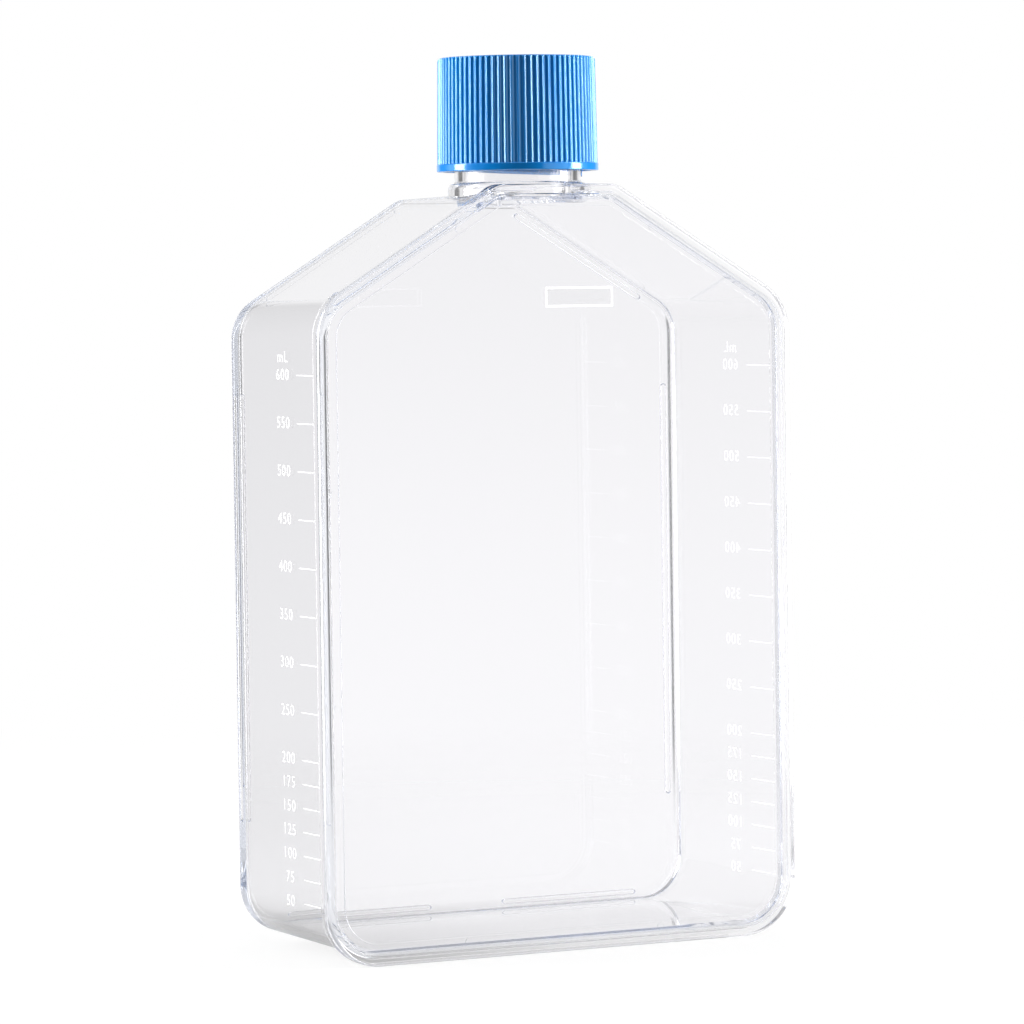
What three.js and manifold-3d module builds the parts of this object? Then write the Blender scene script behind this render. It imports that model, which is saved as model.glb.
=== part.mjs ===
// A rectangular cell culture flask of clear moulded polystyrene, standing on its end, with its
// screw cap on. The flask is a deep tray with a neck, closed at the front by a flat window that is
// welded into the tray's flange. Units are millimetres: +X to the right, +Z up, and the front
// faces -Y. The origin is in the middle of the footprint, level with the bottom of the flange.

import * as THREE from 'three';
import { mergeVertices } from 'three/addons/utils/BufferGeometryUtils.js';
import Module from 'manifold-3d';

const wasm = await Module();
wasm.setup();

// ---- Driving dimensions -------------------------------------------------------------------

// Outline of the front flange, seen from the front: a house with rounded corners.
const WIDTH = 117;
const BODY_HEIGHT = 168.2;
const SHOULDER_HEIGHT = 142;
const TOP_WIDTH = 30;
const BOTTOM_RADIUS = 13;
const SHOULDER_RADIUS = 12;
const TOP_RADIUS = 6.5;

// Depths are measured back from the front face of the rim.
const BODY_DEPTH = 49.6;
const FLANGE_DEPTH = 3.8;
const FLANGE_OVERHANG = 1.7;
const FLANGE_ROUNDING = 0.8;
const WALL = 1.7;
const DRAFT = 0.01;
const BACK_ROUNDING = 2;

// The window sits in a rabbet just inside the rim, on a ledge round the cavity's mouth.
const RIM_WIDTH = 2.3;
const WINDOW_RECESS = 1;
const WINDOW_THICKNESS = 1.8;
const WINDOW_ROUNDING = 0.25;
const WELD_GAP = 0.3;

// Low ridges on the back wall keep stacked flasks apart.
const RIDGE_WIDTH = 1.8;
const RIDGE_HEIGHT = 0.7;
const SIDE_RIDGE_X = 53.2;
const SIDE_RIDGE_BOTTOM = 28.5;
const SIDE_RIDGE_TOP = 122;
const FOOT_RIDGE_Z = 5;
const FOOT_RIDGE_INNER = 10;
const FOOT_RIDGE_OUTER = 43;
const SHOULDER_RIDGE_INSET = 5;
const SHOULDER_RIDGE_INNER = 15.7;
const SHOULDER_RIDGE_OUTER = 46.5;

// The neck and the collar that it rises from. NECK_DEPTH is the depth of its axis.
const NECK_DEPTH = 18.7;
const NECK_RADIUS = 14;
const NECK_BORE_RADIUS = 12;
const COLLAR_RADIUS = 15.5;
const COLLAR_TOP = 169.9;
const LIP_HEIGHT = 194.2;
const LIP_ROUNDING = 0.6;

// The cap, screwed down.
const CAP_BOTTOM = 171.3;
const CAP_TOP = 196.4;
const CAP_BAND_RADIUS = 17.9;
const CAP_BAND_HEIGHT = 1.7;
const RIB_COUNT = 80;
const RIB_CREST_RADIUS = 17.75;
const RIB_ROOT_RADIUS = 17.15;
const RIB_DRAFT = 0.02;
const CAP_EDGE_ROUNDING = 1.1;
const CAP_BORE_RADIUS = 15.9;
const CAP_TOP_THICKNESS = 1.9;
const PLUG_RADIUS = 11.6;
const PLUG_INNER_RADIUS = 10.4;
const PLUG_LENGTH = 4.5;

// The dished middle of the cap's top, with vent slots round its centre over a membrane.
const DISH_RADIUS = 12.5;
const DISH_DEPTH = 0.6;
const VENT_COUNT = 8;
const VENT_INNER = 3;
const VENT_OUTER = 8.4;
const VENT_WIDTH = 1.6;
const MEMBRANE_RADIUS = 10;
const MEMBRANE_THICKNESS = 0.5;

// How finely round things are cut.
const ARC_STEPS = 3;
const ROUNDING_STEPS = 2;
const NECK_SIDES = 48;
const CAP_SIDES = 80;
const VENT_END_STEPS = 2;

// ---- Derived places -----------------------------------------------------------------------

const FRONT_Y = -(BODY_DEPTH + RIDGE_HEIGHT) / 2;
const NECK_Y = FRONT_Y + NECK_DEPTH;
const LEDGE_DEPTH = WINDOW_RECESS + WINDOW_THICKNESS + WELD_GAP;
const SHOULDER_RUN = (WIDTH - TOP_WIDTH) / 2;
const SHOULDER_RISE = BODY_HEIGHT - SHOULDER_HEIGHT;
const SHOULDER_LENGTH = Math.hypot(SHOULDER_RUN, SHOULDER_RISE);
const OVERSHOOT = 2; // how far a cutting solid runs past the face that it cuts

// ---- Joining and cutting ------------------------------------------------------------------

function toSolid(geometry) {
  const bare = new THREE.BufferGeometry();
  bare.setAttribute('position', geometry.getAttribute('position').clone());
  bare.setIndex(geometry.getIndex());
  const merged = mergeVertices(bare, 1e-4);
  const vertProperties = new Float32Array(merged.getAttribute('position').array);
  const triVerts = new Uint32Array(merged.getIndex().array);
  return new wasm.Manifold(new wasm.Mesh({ numProp: 3, vertProperties, triVerts }));
}

function toGeometry(solid) {
  const { vertProperties, triVerts } = solid.getMesh();
  const geometry = new THREE.BufferGeometry();
  geometry.setAttribute('position', new THREE.BufferAttribute(vertProperties, 3));
  geometry.setIndex(new THREE.BufferAttribute(triVerts, 1));
  return geometry;
}

function join(...geometries) {
  return geometries.map(toSolid).reduce((a, b) => a.add(b));
}

function cut(solid, ...geometries) {
  return geometries.map(toSolid).reduce((a, b) => a.subtract(b), solid);
}

// ---- Outlines -----------------------------------------------------------------------------

// A closed outline through convex corners {x, y, radius}, anticlockwise, each corner a true arc.
function roundedShape(corners) {
  const shape = new THREE.Shape();
  corners.forEach((corner, i) => {
    const here = new THREE.Vector2(corner.x, corner.y);
    const before = corners.at(i - 1);
    const after = corners[(i + 1) % corners.length];
    const back = new THREE.Vector2(before.x, before.y).sub(here).normalize();
    const ahead = new THREE.Vector2(after.x, after.y).sub(here).normalize();
    const halfAngle = Math.acos(back.dot(ahead)) / 2;
    const reach = corner.radius / Math.sin(halfAngle);
    const centre = back.clone().add(ahead).normalize().multiplyScalar(reach).add(here);
    const tangent = corner.radius / Math.tan(halfAngle);
    const start = back.multiplyScalar(tangent).add(here).sub(centre);
    const end = ahead.multiplyScalar(tangent).add(here).sub(centre);
    shape.absarc(centre.x, centre.y, corner.radius, start.angle(), end.angle(), false);
  });
  return shape;
}

// Height of the right shoulder's edge at x, once the outline is moved in by inset.
function shoulderZ(x, inset) {
  return BODY_HEIGHT + ((TOP_WIDTH / 2 - x) * SHOULDER_RISE - inset * SHOULDER_LENGTH) / SHOULDER_RUN;
}

// The flask's outline, moved in by inset all round.
function bodyShape(inset) {
  const side = WIDTH / 2 - inset;
  const shoulder = shoulderZ(side, inset);
  const top = BODY_HEIGHT - inset;
  const topX = TOP_WIDTH / 2 - inset * (SHOULDER_LENGTH - SHOULDER_RUN) / SHOULDER_RISE;
  return roundedShape([
    { x: side, y: inset, radius: BOTTOM_RADIUS - inset },
    { x: side, y: shoulder, radius: SHOULDER_RADIUS - inset },
    { x: topX, y: top, radius: TOP_RADIUS - inset },
    { x: -topX, y: top, radius: TOP_RADIUS - inset },
    { x: -side, y: shoulder, radius: SHOULDER_RADIUS - inset },
    { x: -side, y: inset, radius: BOTTOM_RADIUS - inset },
  ]);
}

// A bar with round ends between two points of a plane.
function barShape(start, end, width) {
  const along = end.clone().sub(start).angle();
  const shape = new THREE.Shape();
  shape.absarc(end.x, end.y, width / 2, along - Math.PI / 2, along + Math.PI / 2, false);
  shape.absarc(start.x, start.y, width / 2, along + Math.PI / 2, along + 1.5 * Math.PI, false);
  return shape;
}

// ---- Solids from outlines -----------------------------------------------------------------

// A slab of a front-view outline between two depths, its edges rounded by rounding.
function slab(shape, nearDepth, farDepth, rounding = 0) {
  const geometry = new THREE.ExtrudeGeometry(shape, {
    depth: farDepth - nearDepth - 2 * rounding,
    curveSegments: ARC_STEPS,
    bevelEnabled: rounding > 0,
    bevelThickness: rounding,
    bevelSize: rounding,
    bevelOffset: -rounding,
    bevelSegments: ROUNDING_STEPS,
  });
  geometry.rotateX(Math.PI / 2);
  geometry.translate(0, FRONT_Y + farDepth - rounding, 0);
  return geometry;
}

// Draws a slab in towards its back, as a moulding is so that it leaves its mould.
function drafted(geometry) {
  const position = geometry.getAttribute('position');
  const middle = BODY_HEIGHT / 2;
  for (let i = 0; i < position.count; i += 1) {
    const share = (position.getY(i) - FRONT_Y) / BODY_DEPTH;
    const scale = 1 - DRAFT * share;
    position.setX(i, position.getX(i) * scale);
    position.setZ(i, middle + (position.getZ(i) - middle) * scale);
  }
  return geometry;
}

// A turned solid about the neck's axis, from a profile of [radius, height] points.
function turned(profile, sides) {
  const points = profile.map(([radius, height]) => new THREE.Vector2(radius, height));
  const geometry = new THREE.LatheGeometry(points, sides);
  geometry.rotateX(Math.PI / 2);
  geometry.translate(0, NECK_Y, 0);
  return geometry;
}

// The points of a quarter round at an outer top edge, going up and in.
function quarterRound(radius, top, rounding, steps) {
  const points = [];
  for (let i = 0; i <= steps; i += 1) {
    const angle = (i / steps) * Math.PI / 2;
    const out = radius - rounding * (1 - Math.cos(angle));
    points.push([out, top - rounding * (1 - Math.sin(angle))]);
  }
  return points;
}

// ---- The tray -----------------------------------------------------------------------------

function ridge(x0, z0, x1, z1) {
  const shape = barShape(new THREE.Vector2(x0, z0), new THREE.Vector2(x1, z1), RIDGE_WIDTH);
  return slab(shape, BODY_DEPTH - WALL / 2, BODY_DEPTH + RIDGE_HEIGHT);
}

function stackingRidges() {
  const ridges = [];
  for (const side of [-1, 1]) {
    const shoulderInner = shoulderZ(SHOULDER_RIDGE_INNER, SHOULDER_RIDGE_INSET);
    const shoulderOuter = shoulderZ(SHOULDER_RIDGE_OUTER, SHOULDER_RIDGE_INSET);
    ridges.push(ridge(side * SIDE_RIDGE_X, SIDE_RIDGE_BOTTOM, side * SIDE_RIDGE_X, SIDE_RIDGE_TOP));
    ridges.push(ridge(side * FOOT_RIDGE_INNER, FOOT_RIDGE_Z, side * FOOT_RIDGE_OUTER, FOOT_RIDGE_Z));
    ridges.push(ridge(
      side * SHOULDER_RIDGE_INNER, shoulderInner,
      side * SHOULDER_RIDGE_OUTER, shoulderOuter,
    ));
  }
  return ridges;
}

function neckAndCollar() {
  const root = shoulderZ(COLLAR_RADIUS, FLANGE_OVERHANG) - WALL;
  const collarEdge = quarterRound(COLLAR_RADIUS, COLLAR_TOP, COLLAR_RADIUS - NECK_RADIUS, ROUNDING_STEPS);
  const lip = quarterRound(NECK_RADIUS, LIP_HEIGHT, LIP_ROUNDING, ROUNDING_STEPS);
  return turned([[0, root], [COLLAR_RADIUS, root], ...collarEdge, ...lip, [0, LIP_HEIGHT]], NECK_SIDES);
}

function neckBore() {
  const bottom = BODY_HEIGHT - FLANGE_OVERHANG - 3 * WALL;
  const top = LIP_HEIGHT + OVERSHOOT;
  return turned([[0, bottom], [NECK_BORE_RADIUS, bottom], [NECK_BORE_RADIUS, top], [0, top]], NECK_SIDES);
}

function flaskTray() {
  const outer = drafted(slab(bodyShape(FLANGE_OVERHANG), 1, BODY_DEPTH, BACK_ROUNDING));
  const flange = slab(bodyShape(0), 0, FLANGE_DEPTH, FLANGE_ROUNDING);
  const solid = join(flange, outer, neckAndCollar(), ...stackingRidges());
  const cavity = drafted(slab(
    bodyShape(FLANGE_OVERHANG + WALL), -OVERSHOOT, BODY_DEPTH - WALL, BACK_ROUNDING - WALL / 2,
  ));
  const rabbet = slab(bodyShape(RIM_WIDTH), -OVERSHOOT, LEDGE_DEPTH);
  return toGeometry(cut(solid, cavity, rabbet, neckBore()));
}

// ---- The window ---------------------------------------------------------------------------

function frontPlate() {
  const nearDepth = WINDOW_RECESS;
  const farDepth = WINDOW_RECESS + WINDOW_THICKNESS;
  const plate = slab(bodyShape(RIM_WIDTH + WELD_GAP), nearDepth, farDepth, WINDOW_ROUNDING);
  return toGeometry(toSolid(plate));
}

// ---- The cap ------------------------------------------------------------------------------

// A toothed outline: each rib is a flat crest between two sloping flanks.
function ribbedShape() {
  const pitch = (2 * Math.PI) / RIB_COUNT;
  const corners = [[0, RIB_ROOT_RADIUS], [0.3, RIB_ROOT_RADIUS], [0.5, RIB_CREST_RADIUS], [0.8, RIB_CREST_RADIUS]];
  const points = [];
  for (let rib = 0; rib < RIB_COUNT; rib += 1) {
    for (const [share, radius] of corners) {
      const angle = (rib + share) * pitch;
      points.push(new THREE.Vector2(radius * Math.cos(angle), radius * Math.sin(angle)));
    }
  }
  return new THREE.Shape(points);
}

// The ribbed skirt, a little narrower at its top than at its bottom.
function ribbedSkirt() {
  const height = CAP_TOP - CAP_BOTTOM;
  const geometry = new THREE.ExtrudeGeometry(ribbedShape(), { depth: height, bevelEnabled: false });
  const position = geometry.getAttribute('position');
  for (let i = 0; i < position.count; i += 1) {
    const scale = 1 - RIB_DRAFT * (position.getZ(i) / height);
    position.setX(i, position.getX(i) * scale);
    position.setY(i, position.getY(i) * scale);
  }
  geometry.translate(0, NECK_Y, CAP_BOTTOM);
  return geometry;
}

// A plain turned blank that rounds off the ribs at the cap's top edge.
function capBlank() {
  const radius = RIB_CREST_RADIUS * (1 - RIB_DRAFT / 2);
  const below = CAP_BOTTOM - OVERSHOOT;
  const edge = quarterRound(radius, CAP_TOP, CAP_EDGE_ROUNDING, ROUNDING_STEPS);
  return turned([[0, below], [CAP_BAND_RADIUS, below], ...edge, [0, CAP_TOP]], CAP_SIDES);
}

function capBand() {
  const top = CAP_BOTTOM + CAP_BAND_HEIGHT;
  const profile = [[0, CAP_BOTTOM], [CAP_BAND_RADIUS, CAP_BOTTOM], [CAP_BAND_RADIUS, top], [0, top]];
  return turned(profile, CAP_SIDES);
}

// The room inside the cap for the neck, with the plug ring left standing in the middle of it.
function capBore() {
  const below = CAP_BOTTOM - OVERSHOOT;
  const ceiling = CAP_TOP - CAP_TOP_THICKNESS;
  const plugEnd = ceiling - PLUG_LENGTH;
  return turned([
    [0, below], [CAP_BORE_RADIUS, below], [CAP_BORE_RADIUS, ceiling], [PLUG_RADIUS, ceiling],
    [PLUG_RADIUS, plugEnd], [PLUG_INNER_RADIUS, plugEnd], [PLUG_INNER_RADIUS, ceiling], [0, ceiling],
  ], CAP_SIDES);
}

function capDish() {
  const floor = CAP_TOP - DISH_DEPTH;
  const top = CAP_TOP + OVERSHOOT;
  return turned([[0, floor], [DISH_RADIUS, floor], [DISH_RADIUS, top], [0, top]], CAP_SIDES);
}

function ventSlot(angle) {
  const inner = new THREE.Vector2(VENT_INNER, 0).rotateAround(new THREE.Vector2(), angle);
  const outer = new THREE.Vector2(VENT_OUTER, 0).rotateAround(new THREE.Vector2(), angle);
  const geometry = new THREE.ExtrudeGeometry(barShape(inner, outer, VENT_WIDTH), {
    depth: CAP_TOP_THICKNESS + 2 * OVERSHOOT,
    curveSegments: VENT_END_STEPS,
    bevelEnabled: false,
  });
  geometry.translate(0, NECK_Y, CAP_TOP - CAP_TOP_THICKNESS - OVERSHOOT);
  return geometry;
}

function cap() {
  const vents = [];
  for (let i = 0; i < VENT_COUNT; i += 1) {
    vents.push(ventSlot((i / VENT_COUNT) * 2 * Math.PI));
  }
  const skirt = toSolid(ribbedSkirt()).intersect(toSolid(capBlank()));
  return toGeometry(cut(skirt.add(toSolid(capBand())), capBore(), capDish(), ...vents));
}

function ventMembrane() {
  const top = CAP_TOP - CAP_TOP_THICKNESS - WELD_GAP;
  const bottom = top - MEMBRANE_THICKNESS;
  return turned([[0, bottom], [MEMBRANE_RADIUS, bottom], [MEMBRANE_RADIUS, top], [0, top]], NECK_SIDES);
}

// ---- Materials and assembly ---------------------------------------------------------------

function clearPolystyrene() {
  return new THREE.MeshStandardMaterial({
    color: 0xeceef2, roughness: 0.06, metalness: 0, transparent: true, opacity: 0.3,
  });
}

function bluePolyethylene() {
  return new THREE.MeshStandardMaterial({ color: 0x0a72d0, roughness: 0.32, metalness: 0 });
}

function whiteMembrane() {
  return new THREE.MeshStandardMaterial({ color: 0xf2f2ee, roughness: 0.85, metalness: 0 });
}

function named(name, geometry, material) {
  const mesh = new THREE.Mesh(geometry, material);
  mesh.name = name;
  return mesh;
}

const flask = new THREE.Group();
flask.add(named('flask_tray', flaskTray(), clearPolystyrene()));
flask.add(named('front_plate', frontPlate(), clearPolystyrene()));
flask.add(named('cap', cap(), bluePolyethylene()));
flask.add(named('vent_membrane', ventMembrane(), whiteMembrane()));

export default flask;
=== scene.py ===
"""Looks of a clear cell culture flask with a blue screw cap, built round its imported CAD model.

The CAD tray, window and cap give way to finely rounded meshes of the same form, made here by
lofting, turning and boolean cuts. Lengths are written in millimetres and scaled to metres by MM.
"""

import math

import bmesh
import bpy
from mathutils import Matrix, Vector


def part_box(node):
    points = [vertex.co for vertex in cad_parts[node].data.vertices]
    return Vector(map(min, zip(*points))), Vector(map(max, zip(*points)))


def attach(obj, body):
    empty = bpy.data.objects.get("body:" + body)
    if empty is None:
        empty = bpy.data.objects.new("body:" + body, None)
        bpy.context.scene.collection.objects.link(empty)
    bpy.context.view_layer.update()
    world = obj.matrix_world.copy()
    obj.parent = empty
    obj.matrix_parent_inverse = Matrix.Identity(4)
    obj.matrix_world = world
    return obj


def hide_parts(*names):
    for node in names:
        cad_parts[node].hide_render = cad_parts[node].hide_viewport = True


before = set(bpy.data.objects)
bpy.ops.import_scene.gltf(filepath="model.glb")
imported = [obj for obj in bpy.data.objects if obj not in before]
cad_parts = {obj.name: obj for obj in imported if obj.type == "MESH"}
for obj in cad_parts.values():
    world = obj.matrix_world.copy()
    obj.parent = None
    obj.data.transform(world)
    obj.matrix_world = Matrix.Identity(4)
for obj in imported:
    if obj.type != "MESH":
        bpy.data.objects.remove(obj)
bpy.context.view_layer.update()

# ---- Sizes ------------------------------------------------------------------------------------

MM = 0.001

# Outline and section of the flask, as in the CAD model; the frame gives the outer sizes.
TRAY_LOW, TRAY_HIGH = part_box("flask_tray")
PLATE_LOW, PLATE_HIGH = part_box("front_plate")
CAP_LOW, CAP_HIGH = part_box("cap")
WIDTH = TRAY_HIGH.x - TRAY_LOW.x
BODY_HEIGHT = PLATE_HIGH.z + PLATE_LOW.z
FRONT_Y = TRAY_LOW.y
NECK_Y = (CAP_LOW.y + CAP_HIGH.y) / 2
LIP_Z = TRAY_HIGH.z
CAP_BOTTOM = CAP_LOW.z
CAP_TOP = CAP_HIGH.z

SHOULDER_HEIGHT = 142 * MM
TOP_WIDTH = 30 * MM
BOTTOM_RADIUS = 13 * MM
SHOULDER_RADIUS = 12 * MM
TOP_RADIUS = 6.5 * MM

# Low stacking ridges on the back wall; each run's ends are distances from the middle or the foot.
RIDGE_WIDTH = 1.8 * MM
RIDGE_HEIGHT = 0.7 * MM
RIDGE_EDGE = 0.5 * MM
RIDGE_INSET = 5 * MM
RIDGE_SIDE_X = 53.2 * MM
RIDGE_SIDE_RUN = (28.5 * MM, 122 * MM)
RIDGE_FOOT_RUN = (10 * MM, 43 * MM)
RIDGE_SHOULDER_RUN = (15.7 * MM, 46.5 * MM)

BODY_DEPTH = TRAY_HIGH.y - TRAY_LOW.y - RIDGE_HEIGHT
FLANGE_DEPTH = 3.8 * MM
FLANGE_OVERHANG = 1.7 * MM
FLANGE_ROUNDING = 0.8 * MM
FLANGE_FILLET = 0.5 * MM
WALL = 1.7 * MM
DRAFT = 0.01                # share by which the walls draw in towards the back
BACK_ROUNDING = 0.6 * MM    # outside, where the walls meet the back
ROOM_ROUNDING = 2.3 * MM    # inside, at the same place
RIM_WIDTH = 2.3 * MM
RIM_ROUNDING = 0.3 * MM
WINDOW_RECESS = PLATE_LOW.y - FRONT_Y
WINDOW_THICKNESS = PLATE_HIGH.y - PLATE_LOW.y
WINDOW_ROUNDING = 0.25 * MM
WINDOW_BORDER = 2.1 * MM    # width of the lower border round the window
WINDOW_STEP = 0.22 * MM     # and how much lower it lies
WELD_GAP = 0.3 * MM
MARK_RADIUS = 0.8 * MM      # round marks of the mould's ejector pins
MARK_DEPTH = 0.05 * MM      # of their tops below the window's face
MARK_HEIGHTS = (56 * MM, 102 * MM)
MARK_X = 24 * MM

NECK_RADIUS = 14 * MM
NECK_BORE_RADIUS = 12 * MM
COLLAR_RADIUS = 15.5 * MM
COLLAR_TOP = 168.7 * MM
NECK_FILLET = 0.4 * MM      # where the neck stands on its collar
NECK_FILLET_MIDDLE = 0.12 * MM
LIP_ROUNDING = 0.6 * MM
THREAD_LEAD = 4 * MM
THREAD_CREST = 15.45 * MM
THREAD_START = 177 * MM
THREAD_TURNS = 2.25
THREAD_SECTION = (0.95 * MM, 0.35 * MM)    # half widths at its foot and its crest
THREAD_RUNOUTS = 10         # either end runs out over one part in so many
THREAD_LEAST = 0.02         # share of its height at its very ends
THREAD_ROOT_DEPTH = 0.3 * MM

RIB_COUNT = 80
RIB_CREST = 17.75 * MM
RIB_ROOT = 17.44 * MM
RIB_STEPS = 16
RIB_SHARPNESS = 1.3
RIB_DRAFT = 0.02
CAP_BAND_RADIUS = (CAP_HIGH.x - CAP_LOW.x) / 2
CAP_BAND_HEIGHT = 1.7 * MM
CAP_BAND_ROUNDING = 0.3 * MM
CAP_EDGE = 0.7 * MM
RIBS_START = 0.6 * MM       # above the cap's lower edge, inside the band
TRIM_DEPTH = 4 * MM         # over which the trimming shell closes in to the top
TRIM_STEPS = 4              # for each rib
CAP_BORE = 15.9 * MM
CAP_MOUTH = 0.6 * MM        # chamfer where the bore opens
CAP_THREAD_CREST = 14.5 * MM
CAP_THREAD_START = THREAD_START - 1.5 * THREAD_LEAD    # midway between the neck's turns
CAP_THREAD_TURNS = 2.5
CAP_THREAD_SECTION = (0.9 * MM, 0.3 * MM)
CAP_CEILING = CAP_TOP - 1.9 * MM
PLUG_RADIUS = 11.6 * MM
PLUG_INNER = 10.4 * MM
PLUG_LENGTH = 4.5 * MM
PLUG_TAPER = 0.3 * MM
CORE_RADIUS = 0.1 * MM      # hole in the middle of the bore's cutter
CORE_SIDES = 24
DISH_RADIUS = 12.5 * MM
DISH_DEPTH = 0.6 * MM
DISH_BEVEL = (0.5 * MM, 0.4 * MM)    # round its floor: width and height
DISH_FLARE = 0.2 * MM
VENT_COUNT = 8
VENT_INNER = 3 * MM
VENT_OUTER = 8.4 * MM
VENT_WIDTH = 1.6 * MM

# How finely round things are cut, how far cutters reach past what they cut, and the angle from
# which an edge stays sharp.
CORNER_STEPS = 20
ROUNDING_STEPS = 6
TURNED_SIDES = 144
REACH = 2 * MM
SHORT_REACH = 1 * MM
SHARP_DEGREES = 35


# ---- Meshes -----------------------------------------------------------------------------------

def new_object(name, vertices, faces):
    mesh = bpy.data.meshes.new(name)
    mesh.from_pydata(vertices, [], faces)
    mesh.validate()
    mesh.update()
    obj = bpy.data.objects.new(name, mesh)
    bpy.context.scene.collection.objects.link(obj)
    return obj


def loft(name, rings, looped=False):
    """A closed solid through rings of equal numbers of points.

    Its ends are capped or, when looped, its last ring joins on to its first."""
    count = len(rings[0])
    vertices = [point for ring in rings for point in ring]
    faces = []
    for level in range(len(rings) if looped else len(rings) - 1):
        near = level * count
        far = (level + 1) % len(rings) * count
        for i in range(count):
            j = (i + 1) % count
            faces.append((near + i, near + j, far + j, far + i))
    if not looped:
        last = (len(rings) - 1) * count
        faces.append(tuple(reversed(range(count))))
        faces.append(tuple(range(last, last + count)))
    return outward(new_object(name, vertices, faces))


def outward(obj):
    """Turns the faces of a closed solid to point out."""
    bm = bmesh.new()
    bm.from_mesh(obj.data)
    bmesh.ops.recalc_face_normals(bm, faces=bm.faces)
    if bm.calc_volume(signed=True) < 0:
        bmesh.ops.reverse_faces(bm, faces=bm.faces)
    bm.to_mesh(obj.data)
    bm.free()
    return obj


def turned(name, profile, sides=TURNED_SIDES, ring_shaped=False):
    """A solid turned about the neck's axis from (radius, height) points, bottom first.

    Its profile runs from below to above, or right round when it is ring shaped."""
    rings = []
    for radius, height in profile:
        ring = []
        for i in range(sides):
            angle = 2 * math.pi * i / sides
            ring.append((radius * math.cos(angle), NECK_Y + radius * math.sin(angle), height))
        rings.append(ring)
    return loft(name, rings, looped=ring_shaped)


def combine(target, operation, tools):
    """Joins tools to target, or cuts them out of it, and removes the tools."""
    for tool in tools:
        step = target.modifiers.new("step", "BOOLEAN")
        step.operation = operation
        step.solver = "MANIFOLD"
        step.object = tool
        settle(target)
        bpy.data.objects.remove(tool)
    return target


def settle(obj):
    """Applies the object's modifiers to its mesh."""
    bpy.context.view_layer.update()
    graph = bpy.context.evaluated_depsgraph_get()
    mesh = bpy.data.meshes.new_from_object(obj.evaluated_get(graph), depsgraph=graph)
    obj.modifiers.clear()
    obj.data = mesh
    return obj


def smoothed(obj):
    """Smooth shading that leaves flat faces flat, as on a polished moulding."""
    mesh = obj.data
    mesh.shade_smooth()
    mesh.set_sharp_from_angle(angle=math.radians(SHARP_DEGREES))
    weighted = obj.modifiers.new("weighted", "WEIGHTED_NORMAL")
    weighted.mode = "FACE_AREA"
    weighted.weight = 100
    weighted.keep_sharp = True
    return settle(obj)


# ---- Outlines ---------------------------------------------------------------------------------

def shoulder_z(x, inset):
    """Height of the shoulder's line at x, moved in by inset."""
    run = (WIDTH - TOP_WIDTH) / 2
    rise = BODY_HEIGHT - SHOULDER_HEIGHT
    return BODY_HEIGHT + ((TOP_WIDTH / 2 - x) * rise - inset * math.hypot(run, rise)) / run


def body_outline(inset):
    """(x, z) points of the flask's outline, moved in by inset, with every corner a true arc."""
    run = (WIDTH - TOP_WIDTH) / 2
    rise = BODY_HEIGHT - SHOULDER_HEIGHT
    side = WIDTH / 2 - inset
    top_x = TOP_WIDTH / 2 - inset * (math.hypot(run, rise) - run) / rise
    half = [
        (side, inset, BOTTOM_RADIUS),
        (side, shoulder_z(side, inset), SHOULDER_RADIUS),
        (top_x, BODY_HEIGHT - inset, TOP_RADIUS),
    ]
    corners = half + [(-x, z, radius) for x, z, radius in reversed(half)]
    points = []
    for i, (x, z, radius) in enumerate(corners):
        before = Vector(corners[i - 1][:2])
        after = Vector(corners[(i + 1) % len(corners)][:2])
        points += corner_arc(before, Vector((x, z)), after, radius - inset)
    return points


def corner_arc(before, corner, after, radius):
    """Points of the arc that rounds one convex corner of an anticlockwise outline."""
    back = (before - corner).normalized()
    ahead = (after - corner).normalized()
    half_angle = back.angle(ahead) / 2
    centre = corner + (back + ahead).normalized() * radius / math.sin(half_angle)
    start = corner + back * radius / math.tan(half_angle) - centre
    sweep = math.pi - 2 * half_angle
    points = []
    for i in range(CORNER_STEPS + 1):
        angle = sweep * i / CORNER_STEPS
        turn = Matrix.Rotation(angle, 2)
        points.append(tuple(centre + turn @ start))
    return points


def drafted(point, depth):
    """A front-view point, drawn in as the walls are towards the back."""
    middle = BODY_HEIGHT / 2
    scale = 1 - DRAFT * depth / BODY_DEPTH
    return point[0] * scale, middle + (point[1] - middle) * scale


def body_ring(depth, inset, draft=True):
    """The outline as a ring of points at a depth behind the flask's front."""
    points = body_outline(inset)
    if draft:
        points = [drafted(point, depth) for point in points]
    return [(x, FRONT_Y + depth, z) for x, z in points]


def fillet(first, second, first_reach, second_reach):
    """Steps of a quarter round in a section, such as (depth, inset) or (radius, height).

    It leaves its start in the first direction and ends in the second."""
    steps = []
    for i in range(1, ROUNDING_STEPS + 1):
        angle = math.pi / 2 * i / ROUNDING_STEPS
        steps.append((
            first + first_reach * math.sin(angle),
            second + second_reach * (1 - math.cos(angle)),
        ))
    return steps


def fillet_across(first, second, first_reach, second_reach):
    """As fillet, but it leaves in the second direction and ends in the first."""
    swapped = fillet(second, first, second_reach, first_reach)
    return [(first, second) for second, first in swapped]


# ---- The tray ---------------------------------------------------------------------------------

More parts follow.
